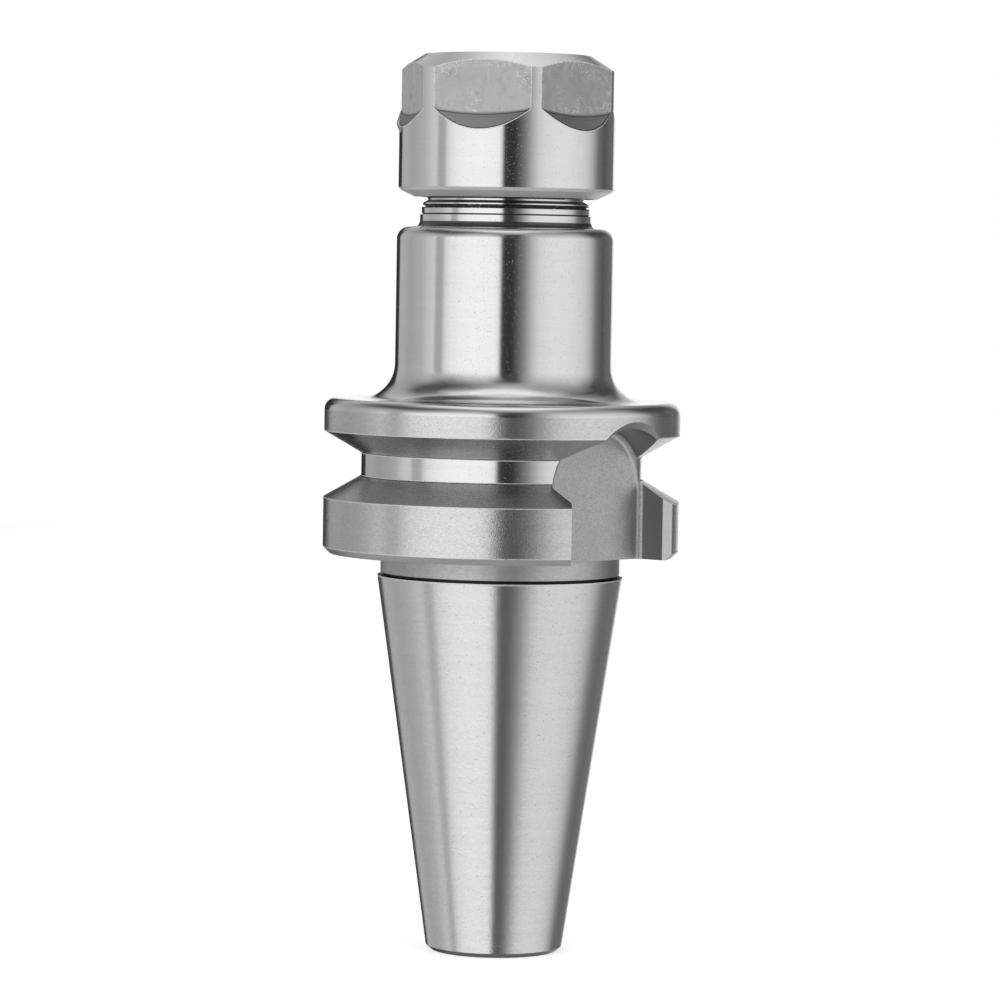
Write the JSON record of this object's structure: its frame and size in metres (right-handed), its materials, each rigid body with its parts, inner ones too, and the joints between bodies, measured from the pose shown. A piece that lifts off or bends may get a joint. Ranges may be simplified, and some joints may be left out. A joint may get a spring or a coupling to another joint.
{
  "type": "collet chuck holder",
  "caption": "Steep-taper milling tool holder with a grooved gripper flange, drive slots, a cylindrical body, a slotted spring collet and a hexagonal clamping nut.",
  "frame": {"origin": "on the axis, in the gauge plane where the taper meets the relief under the flange", "axes": "+Z along the axis from the small end of the taper towards the nut, +X through the middle of one drive slot"},
  "size_m": [0.046, 0.046, 0.1157],
  "materials": {
    "ground_steel": "finely ground with a ring grain, bright polished body and matte milled slots",
    "nut_steel": "polished skirt with mottled matte wrench flats",
    "spring_steel": "fine satin ground"
  },
  "bodies": {
    "holder": {"holder_body": "ground_steel"},
    "collet": {"collet": "spring_steel"},
    "nut": {"clamping_nut": "nut_steel"}
  },
  "joints": [
    {"name": "collet_travel", "type": "slide", "parent": "holder", "child": "collet", "axis": [0, 0, 1], "range_m": [0, 0.0075]},
    {"name": "nut_turn", "type": "hinge", "parent": "collet", "child": "nut", "pos_m": [0, 0, 0.0485], "axis": [0, 0, 1], "range_deg": [0, 1850]}
  ],
  "couplings": [
    {"joint": "nut_turn", "follows": "collet_travel", "rad_per_m": 4188.8}
  ]
}
